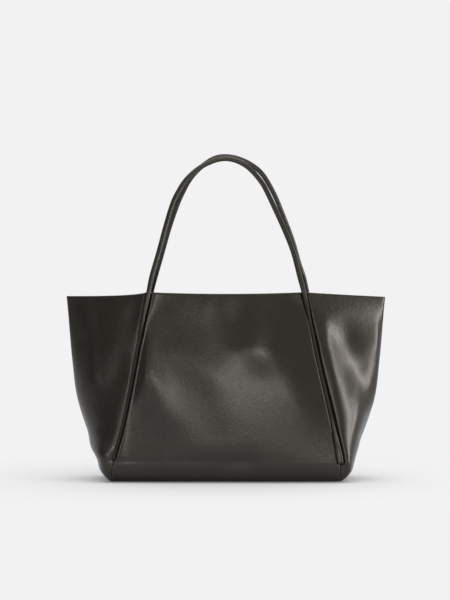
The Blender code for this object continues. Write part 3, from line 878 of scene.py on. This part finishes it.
def handlePath(place, side):
    route, every = handleRoutes[place], handleShape["legEvery"]
    points = np.array(route["points"])
    rim, foot = bodyLines["rim"], float(seamY(bodyLines["rim"])) + valleyShape["lift"]
    share = (points[:, 1] - rim) / (points[:, 1].max() - rim)
    y = side * (foot + (handleShape["topDepth"] - foot) * share)
    arch = np.stack([points[:, 0], y, points[:, 1]], axis=1)
    left = legPoints(side, -1, route["footLeft"])
    right = legPoints(side, 1, route["footRight"])[::-1]
    line = np.concatenate([left[::every], left[-1:], arch, right[:1], right[every - 1 :: every]])
    line = smoothLine(line, handleShape["splineSteps"])
    path = evenSteps(line, int(round(lineLengths(line)[-1] / handleShape["step"])))
    for _ in range(handleShape["smoothing"]):
        path[1:-1] = 0.25 * path[:-2] + 0.5 * path[1:-1] + 0.25 * path[2:]
    return path


# Rings round a path, with a dent along the inner side where the leather is sewn to itself
def tubeRings(path, side, sizes, sides, grooved=0.0):
    tangent = np.gradient(path, axis=0)
    tangent /= np.linalg.norm(tangent, axis=1, keepdims=True)
    facing = np.array([0.0, side, 0.0])
    lift = facing - tangent * (tangent @ facing)[:, None]
    lift /= np.linalg.norm(lift, axis=1, keepdims=True)
    across = np.cross(lift, tangent)
    angles = np.linspace(0.0, 2.0 * np.pi, sides, endpoint=False)
    groove = 1.0 - grooved * np.exp(-(((angles - 1.5 * np.pi) / handleShape["seamWidth"]) ** 2))
    width = sizes[:, 0, None] * np.cos(angles) * groove
    thick = sizes[:, 1, None] * np.sin(angles) * groove
    return path[:, None] + across[:, None] * width[..., None] + lift[:, None] * thick[..., None]


# A tube with domed ends
def tubeMesh(name, rings, materials):
    count, sides = rings.shape[:2]
    verts = rings.reshape(-1, 3)
    index = np.arange(count * sides).reshape(count, sides)
    faces = []
    for a, b in zip(index, index[1:]):
        for k in range(sides):
            after = (k + 1) % sides
            faces.append((int(a[k]), int(a[after]), int(b[after]), int(b[k])))
    for end, before in ((0, 1), (-1, -2)):
        line, centre = index[end], rings[end].mean(axis=0)
        tangent = centre - rings[before].mean(axis=0)
        tangent /= np.linalg.norm(tangent)
        inner = centre + (rings[end] - centre) * handleShape["endShare"] + tangent * handleShape["endRise"]
        start = len(verts)
        verts = np.concatenate([verts, inner, [centre + tangent * handleShape["tipRise"]]])
        ring = np.arange(start, start + sides)
        for k in range(sides):
            after = (k + 1) % sides
            quad = (int(line[k]), int(line[after]), int(ring[after]), int(ring[k]))
            tri = (int(ring[k]), int(ring[after]), start + sides)
            faces += [quad, tri] if end else [quad[::-1], tri[::-1]]
    around = np.linspace(0.0, handleShape["aroundUV"], sides, endpoint=False)
    along = lineLengths(rings.mean(axis=1))
    uv = np.stack(np.broadcast_arrays(around, along[:, None]), axis=2).reshape(-1, 2)
    uv = np.pad(uv, ((0, len(verts) - len(uv)), (0, 0)))
    return addMesh(name, verts, faces, materials, None, uv)


def legSizes(path, place):
    z = path[:, 2]
    width = thick = np.full(len(z), handleShape["radius"])
    for hand, side in (("left", -1.0), ("right", 1.0)):
        valley = valleys[(place, hand)]
        below = (path[:, 0] * side > 0.0) & (z < bodyLines["rim"])
        width = np.where(below, byHeight(valley, "half", z), width)
        thick = np.where(below, seatedThick(valley, z), thick)
    return np.stack([width, thick], axis=1)


# The stretch that lies down in its valley keeps a duller face than the stretch that hands polish
def seatedShare(z, hand):
    foot, top = handleShape["dullStretch"][hand]
    footFade, topFade = handleShape["dullFade"]
    return ease((top - z) / topFade) * ease((z - foot) / footFade)


for place, side in (("front", -1), ("back", 1)):
    path = handlePath(place, side)
    sizes = legSizes(path, place)
    grooved = handleShape["seamDepth"] / handleShape["radius"]
    rings = tubeRings(path, side, sizes, handleShape["sides"], grooved)
    piece = tubeMesh(place + "_handle_leather", rings, [handleLeather])
    dull = np.where(path[:, 0] < 0.0, seatedShare(path[:, 2], "left"), seatedShare(path[:, 2], "right"))
    dull = np.repeat(dull, handleShape["sides"])
    dull = np.pad(dull, (0, len(piece.data.vertices) - len(dull)))
    seated = piece.data.attributes.new("seated", "FLOAT", "POINT")
    seated.data.foreach_set("value", dull.astype(np.float32))
    above = path[:, 2] > valleyShape["flatTop"]
    cordSizes = sizes[above] * handleShape["cordShare"]
    cordRings = tubeRings(path[above], side, cordSizes, handleShape["cordSides"])
    cord = tubeMesh(place + "_handle_cord", cordRings, [cottonCord])
    legs = [place + "_handle_left_leg", place + "_handle_right_leg", place + "_handle_loop"]
    for tube, nodes in ((piece, legs), (cord, [name + "_cord" for name in legs])):
        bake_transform(tube)
        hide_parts(*nodes)
print("handles made")


# Facing, lining and pocket, on one sleeve just inside the leather

sleeveShape = {
    "gap": 0.0006,
    "seamDepth": 0.0078,
    "baseDepth": 0.003,
    "deepFrom": 0.015,
    "deepRise": 0.018,
    "lipFrom": 0.0385,
    "lipRise": 0.010,
    "cornerTuck": 0.0025,
    "seamPower": 4,
    "panelSteps": 40,
    "gussetSteps": 26,
}


# How far the sleeve stands from the bag's middle plane, at a share of the way from the panel's middle
# to its seam
def sleeveDepth(share, z):
    s = sleeveShape
    radius, inside = bodyLines["bendRadius"], bodyLines["leather"] + s["gap"]
    low = min(z / radius, 1.0)
    wall = float(seamY(max(z, radius)))
    if low < 1.0:
        wall += math.sqrt(max((radius - inside) ** 2 - (radius - z) ** 2, 0.0)) - radius
    else:
        wall -= inside
    deep = float(ease((z - s["deepFrom"]) / s["deepRise"]))
    hidden = s["baseDepth"] + (s["seamDepth"] - s["baseDepth"]) * deep
    rise = valleyShape["lipRise"] * float(ease((z - s["lipFrom"]) / s["lipRise"]))
    crown = (hidden + rise) * (1.0 - share ** s["seamPower"])
    swell = float(bulge(z)) * low**2 * (1.0 - share ** bodyLines["bulgePower"])
    return wall - hidden + crown + swell


def sleeveLoop(z):
    s = sleeveShape
    reach, tip = float(seamX(z)), float(gussetReach(z))
    inside = bodyLines["leather"] + s["gap"]
    corner = inside / math.sin(math.atan2(float(seamY(z)), tip - reach))
    corner += s["cornerTuck"] * max(1.0 - z / bodyLines["bendRadius"], 0.0)
    share = np.linspace(0.0, 1.0, s["panelSteps"], endpoint=False)
    quarters = {}
    for name, folds in (("front", frontFolds), ("back", backFolds)):
        for hand in (-1, 1):
            x = hand * reach * share
            depth = sleeveDepth(share, z) + panelPush(folds, x, z, share)
            quarters[(name, hand)] = np.stack([x, depth], axis=1)
    frontRight = quarters[("front", 1)] * (1.0, -1.0)
    backRight = quarters[("back", 1)][::-1]
    backLeft = quarters[("back", -1)][1:]
    frontLeft = quarters[("front", -1)][:0:-1] * (1.0, -1.0)
    half = gussetHalf(z, reach, sleeveDepth(1.0, z), tip - corner, s["gussetSteps"])
    whole = np.concatenate([half * (1.0, -1.0), half[-2::-1]])
    ends = []
    for folds in (rightFolds, leftFolds):
        pushed, normal = gussetPush(folds, whole, z, inside)
        ends.append(whole + normal * np.minimum(pushed, 0.0)[:, None])
    right, left = ends[0], ends[1][::-1] * (-1.0, 1.0)
    loop = np.concatenate([frontRight, right, backRight, backLeft, left, frontLeft])
    return np.concatenate([loop, np.full((len(loop), 1), z)], axis=1)


liningShape = {
    "thick": 0.0008,
    "slack": 0.0022,
    "top": 0.2674,
    "foot": 0.0046,
    "wallRows": 70,
    "bendRows": 16,
    "bendStart": 0.1,
    "waves": ((1.0, 5.0, 9.0, 0.0), (0.7, 9.0, -22.0, 1.3), (0.5, 14.0, 35.0, 0.4)),
    "roundness": 0.35,  # the waves are spaced as on an oval this much shorter than the bag
    "pullToward": 0.55,
    "hangFade": 0.05,
    "footFrom": 0.004,
    "footFade": 0.03,
    "floorShares": (0.9, 0.75, 0.6, 0.45, 0.3, 0.15, 0.03),
    "puff": 0.0012,
    "puffWaves": (60.0, 85.0),
}


# Soft waves in the cloth, always away from the leather. Each wave: size, turns, climb and start.
def clothWaves(loop, z):
    p = liningShape
    x, y = loop[:, 0], loop[:, 1]
    angle = np.arctan2(y, x * p["roundness"])
    waves = sum(size * np.sin(turns * angle + climb * z + start) for size, turns, climb, start in p["waves"])
    most = sum(wave[0] for wave in p["waves"])
    hang = ease((p["top"] - z) / p["hangFade"]) * ease((z - p["footFrom"]) / p["footFade"])
    inward = p["slack"] * (waves / most * 0.5 + 0.5) * hang
    direction = np.stack([x * p["pullToward"], np.zeros_like(y)], axis=1) - loop[:, :2]
    direction /= np.maximum(np.linalg.norm(direction, axis=1, keepdims=True), 1e-6)
    result = loop.copy()
    result[:, :2] += direction * inward[:, None]
    return result


def makeLining():
    p = liningShape
    bend = 1.0 - np.sin(np.linspace(p["bendStart"], 0.5 * np.pi, p["bendRows"]))
    heights = np.concatenate(
        [
            np.linspace(p["top"], bodyLines["bendRadius"], p["wallRows"]),
            p["foot"] + (bodyLines["bendRadius"] - p["foot"]) * bend,
        ]
    )
    grid = np.array([clothWaves(sleeveLoop(z), z) for z in heights])
    centre = np.array([0.0, 0.0, p["foot"]])
    floors = []
    for share in p["floorShares"]:
        ring = centre + (grid[-1] - centre) * (share, share, 1.0)
        ripple = np.sin(p["puffWaves"][0] * ring[:, 0] + 1.0) * np.sin(p["puffWaves"][1] * ring[:, 1])
        ring[:, 2] = p["foot"] + p["puff"] * (ripple * 0.5 + 0.5) * (1.0 - share)
        floors.append(ring)
    grid = settled(np.concatenate([grid, floors]))
    return addSheet("lining_cloth", grid, p["thick"], [liningCloth], (0.0, -1.0, 0.0), looped=True)


facingShape = {"thick": 0.0012, "top": 0.2974, "foot": 0.2677, "rows": 13, "edgeBulge": 0.35}


def makeFacing():
    p = facingShape
    heights = np.linspace(p["top"], p["foot"], p["rows"])
    grid = settled(np.array([sleeveLoop(z) for z in heights]))
    outward, bulged = (0.0, -1.0, 0.0), p["edgeBulge"]
    return addSheet("mouth_facing_leather", grid, p["thick"], [facingLeather], outward, True, bulged)


pocketShape = {
    "halfWidth": 0.090,
    "foot": 0.105,
    "top": 0.225,
    "thick": 0.0010,
    "hem": 0.012,
    "hemExtra": 0.0006,
    "hemStep": 0.0008,
    "hemRows": 6,
    "rows": 40,
    "columns": 61,
    "cloth": 0.0030,
    "sag": 0.003,
    "ripple": 0.0006,
    "rippleWaves": (7.0, 4.0),
}


def makePocket():
    p = pocketShape
    hemFoot = p["top"] - p["hem"]
    columns = np.linspace(-p["halfWidth"], p["halfWidth"], p["columns"])
    across = columns / p["halfWidth"]
    hemRows = np.linspace(p["top"], hemFoot, p["hemRows"])
    grid, inner = [], []
    for z in np.concatenate([hemRows, np.linspace(hemFoot - p["hemStep"], p["foot"], p["rows"])]):
        share = np.abs(columns) / float(seamX(z))
        near = sleeveDepth(share, z) + panelPush(backFolds, columns, z, share) - p["cloth"]
        up = (z - p["foot"]) / (p["top"] - p["foot"])
        ripple = p["ripple"] * np.sin(p["rippleWaves"][0] * across + p["rippleWaves"][1] * up)
        outer = near - p["sag"] * (1.0 - across**2) * up**2 - ripple
        thick = p["thick"] + (p["hemExtra"] if z > hemFoot - 0.5 * p["hemStep"] else 0.0)
        for lines, depth in ((grid, outer), (inner, outer - thick)):
            lines.append(np.stack([columns, depth, np.full_like(columns, z)], axis=1))
    grid, inner = settled(np.array(grid)), settled(np.array(inner))
    return addSheet("slip_pocket_cloth", grid, p["thick"], [liningCloth], (0.0, 1.0, 0.0), inner=inner)


for piece, node, slot in (
    (makeLining(), "lining", "lining_cloth"),
    (makeFacing(), "mouth_facing", "facing_leather"),
    (makePocket(), "slip_pocket", "lining_cloth"),
):
    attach(piece, "bag")
    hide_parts(node)
print("inside made")


# Magnet snap on the facing, just under the rim

snapShape = {
    "radius": 0.009,
    "height": 0.281,
    "socketThick": 0.0024,
    "plateThick": 0.0014,
    "rimWidth": 0.0010,
    "dish": 0.0004,
    "collar": 0.0044,
    "hole": 0.0035,
    "holeShare": 0.6,
    "button": 0.0032,
    "buttonLength": 0.0014,
    "bevel": 0.0003,
    "bevelSteps": 3,
    "smoothAngle": 35.0,
    "sides": 64,
    "clear": 0.0001,
}


def facingPoint(x, z, side, folds):
    share = abs(x) / float(seamX(z))
    depth = sleeveDepth(share, z) + float(panelPush(folds, np.array(x), z, share))
    return Vector(settled((x, side * (depth - facingShape["thick"]), z)))


# Selects the faces or edges that are wanted
def pick(piece, kind, wanted):
    bpy.ops.mesh.select_mode(type=kind)
    bm = bmesh.from_edit_mesh(piece.data)
    for item in bm.faces if kind == "FACE" else bm.edges:
        item.select_set(wanted(item))
    bm.select_flush_mode()
    bmesh.update_edit_mesh(piece.data)


def isTop(face):
    return face.normal.z > 0.99 and face.calc_center_median().xy.length < 1e-5


# An edge that runs round the disc where its face turns up or down
def isCorner(edge):
    a, b = (v.co for v in edge.verts)
    level = abs(a.z - b.z) < 1e-6 and abs(a.xy.length - b.xy.length) < 1e-6 and a.xy.length > 1e-4
    return level and edge.is_manifold and edge.calc_face_angle() > 1.0


# Steps are (inset, then up or down), from the disc's rim inward
def makeDisc(name, thick, steps):
    s = snapShape
    bpy.ops.object.select_all(action="DESELECT")
    bpy.ops.mesh.primitive_cylinder_add(
        vertices=s["sides"], radius=s["radius"], depth=thick, location=(0.0, 0.0, 0.5 * thick)
    )
    piece = bpy.context.object
    piece.name = name
    piece.data.name = name
    bpy.ops.object.transform_apply(location=True, rotation=True, scale=True)
    bpy.ops.object.mode_set(mode="EDIT")
    for inset, rise in steps:
        pick(piece, "FACE", isTop)
        bpy.ops.mesh.inset(thickness=inset, depth=0.0)
        bpy.ops.mesh.extrude_region_move(TRANSFORM_OT_translate={"value": (0.0, 0.0, rise)})
    pick(piece, "EDGE", isCorner)
    bpy.ops.mesh.bevel(offset=s["bevel"], segments=s["bevelSteps"], affect="EDGES")
    bpy.ops.object.mode_set(mode="OBJECT")
    bpy.ops.object.shade_smooth_by_angle(angle=math.radians(s["smoothAngle"]))
    piece.data.materials.append(snapMetal)
    return piece


# Lays a disc on the facing, clear of the highest point of the leather under it
def seatDisc(piece, side, folds):
    height, radius = snapShape["height"], snapShape["radius"]
    places = ((0.0, radius), (0.0, -radius), (-radius, 0.0), (radius, 0.0), (0.0, 0.0))
    points = [facingPoint(x, height + rise, side, folds) for x, rise in places]
    upper, lower, left, right, middle = points
    up, across = (upper - lower).normalized(), (right - left).normalized()
    inward = (across.cross(up) * side).normalized()
    lift = max((point - middle).dot(inward) for point in points) + snapShape["clear"]
    turn = Matrix((up.cross(inward), up, inward)).transposed().to_4x4()
    piece.matrix_world = Matrix.Translation(middle + inward * lift) @ turn
    bpy.ops.object.select_all(action="DESELECT")
    piece.select_set(True)
    bpy.context.view_layer.objects.active = piece
    bpy.ops.object.transform_apply(location=True, rotation=True, scale=True)


rimInset = snapShape["radius"] - snapShape["rimWidth"] - snapShape["collar"]
rimSteps = [(snapShape["rimWidth"], -snapShape["dish"]), (rimInset, snapShape["dish"])]
hole = (snapShape["collar"] - snapShape["hole"], -snapShape["holeShare"] * snapShape["socketThick"])
button = (snapShape["collar"] - snapShape["button"], snapShape["buttonLength"])
for node, thick, steps, side, folds in (
    ("snap_socket", snapShape["socketThick"], rimSteps + [hole], -1, frontFolds),
    ("snap_stud", snapShape["plateThick"], rimSteps + [button], 1, backFolds),
):
    piece = makeDisc(node + "_disc", thick, steps)
    seatDisc(piece, side, folds)
    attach(piece, "bag")
    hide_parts(node)
print("snap made")


# The base board keeps its CAD shape

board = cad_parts["base_board"]
board.data.materials.clear()
board.data.materials.append(boardFibre)


# Floor, light and camera

studio = {
    "backdrop": (0.8880, 0.8880, 0.8880),
    "floorSize": 60.0,
    "floorDrop": 0.0004,
    "floorShare": 0.9,
    "shadowReach": (0.15, 0.62),
    "floorColour": (0.730, 0.735, 0.740),
    "front": 0.12,
    "room": (("Y", 0.0, 0.55, 0.95), ("Z", 0.45, 0.95, 1.3), ("X", 0.55, 0.95, 0.9)),  # axis, from, to, level
}


def makeFloor():
    bpy.ops.object.select_all(action="DESELECT")
    bpy.ops.mesh.primitive_plane_add(size=studio["floorSize"], location=(0.0, 0.0, -studio["floorDrop"]))
    floor = bpy.context.object
    floor.name = "floor"
    material, tree, shader = newMaterial("paleFloor")
    floorColour = (*studio["floorColour"], 1.0)
    setInputs(shader, {"Base Color": floorColour, "Roughness": 1.0, "Specular IOR Level": 0.0})
    glow = addNode(tree, "ShaderNodeEmission", 0, -300, {"Color": (*studio["backdrop"], 1.0)})
    path = addNode(tree, "ShaderNodeLightPath", -400, 300)
    where = addNode(tree, "ShaderNodeTexCoord", -1000, 100)
    away = addNode(tree, "ShaderNodeVectorMath", -800, 100, operation="LENGTH")
    near, far = studio["shadowReach"]
    values = {"From Min": near, "From Max": far, "To Min": 1.0 - studio["floorShare"], "To Max": 1.0}
    fade = addNode(tree, "ShaderNodeMapRange", -600, 100, values, interpolation_type="SMOOTHSTEP")
    share = addNode(tree, "ShaderNodeMath", -200, 300, operation="MULTIPLY")
    mix = addNode(tree, "ShaderNodeMixShader", 250, 0)
    linkNodes(
        tree,
        (where, "Object", away, 0),
        (away, "Value", fade, "Value"),
        (path, "Is Camera Ray", share, 0),
        (fade, "Result", share, 1),
        (share, "Value", mix, "Fac"),
        (shader, "BSDF", mix, 1),
        (glow, "Emission", mix, 2),
        (mix, "Shader", tree.nodes["Material Output"], "Surface"),
    )
    floor.data.materials.append(material)


# Camera rays see the pale backdrop; the bag sees a room that is brighter above and behind it than in front
def makeWorld():
    world = bpy.data.worlds.new("studioWorld")
    scene.world = world
    world.use_nodes = True
    tree = world.node_tree
    tree.nodes.clear()
    where = addNode(tree, "ShaderNodeTexCoord", -1200, 0)
    parts = addNode(tree, "ShaderNodeSeparateXYZ", -1000, 0)
    linkNodes(tree, (where, "Generated", parts, "Vector"))
    level = None
    for spot, (axis, start, end, amount) in enumerate(studio["room"]):
        least = 0.0 if level else studio["front"]
        values = {"From Min": start, "From Max": end, "To Min": least, "To Max": amount}
        part = addNode(tree, "ShaderNodeMapRange", -750, -250 * spot, values, interpolation_type="SMOOTHSTEP")
        linkNodes(tree, (parts, axis, part, "Value"))
        if not level:
            level = (part, "Result")
            continue
        both = addNode(tree, "ShaderNodeMath", -450, -250 * spot, operation="MAXIMUM")
        linkNodes(tree, (*level, both, 0), (part, "Result", both, 1))
        level = (both, "Value")
    room = addNode(tree, "ShaderNodeBackground", -150, -100)
    pale = addNode(tree, "ShaderNodeBackground", -150, 150, {"Color": (*studio["backdrop"], 1.0)})
    path = addNode(tree, "ShaderNodeLightPath", -450, 350)
    mix = addNode(tree, "ShaderNodeMixShader", 150, 0)
    output = addNode(tree, "ShaderNodeOutputWorld", 400, 0)
    linkNodes(
        tree,
        (*level, room, "Color"),
        (path, "Is Camera Ray", mix, "Fac"),
        (room, "Background", mix, 1),
        (pale, "Background", mix, 2),
        (mix, "Shader", output, "Surface"),
    )


# Softboxes: name, place, aimed at, width, height, power
softboxes = [
    ("keySoftbox", (0.25, -3.6, 0.92), (0.0, 0.0, 0.15), 1.3, 0.6, 21.0),
    ("leftSoftbox", (-1.45, -3.1, 0.98), (-0.1, 0.0, 0.16), 0.5, 0.6, 6.0),
    ("topSoftbox", (0.0, -0.4, 2.6), (0.0, 0.0, 0.2), 2.4, 2.0, 20.0),
    ("sideSoftbox", (2.0, -0.9, 0.45), (0.2, 0.0, 0.18), 0.36, 1.1, 20.0),
]


def addSoftbox(name, place, target, width, height, power):
    light = bpy.data.lights.new(name, "AREA")
    light.shape = "RECTANGLE"
    light.size, light.size_y = width, height
    light.energy = power
    lamp = bpy.data.objects.new(name, light)
    scene.collection.objects.link(lamp)
    lamp.location = place
    direction = Vector(target) - Vector(place)
    lamp.rotation_euler = direction.to_track_quat("-Z", "Y").to_euler()


makeFloor()
makeWorld()
for values in softboxes:
    addSoftbox(*values)

view = {"place": (-0.0014, -3.2, 0.286), "lens": 120.0, "sensor": 36.0, "clipEnd": 100.0}
cameraData = bpy.data.cameras.new("camera")
cameraData.lens = view["lens"]
cameraData.sensor_width = view["sensor"]
cameraData.clip_end = view["clipEnd"]
camera = bpy.data.objects.new("camera", cameraData)
camera.location = view["place"]
camera.rotation_euler = (0.5 * math.pi, 0.0, 0.0)
scene.collection.objects.link(camera)
scene.camera = camera
scene.view_settings.view_transform = "Standard"
print("studio made")
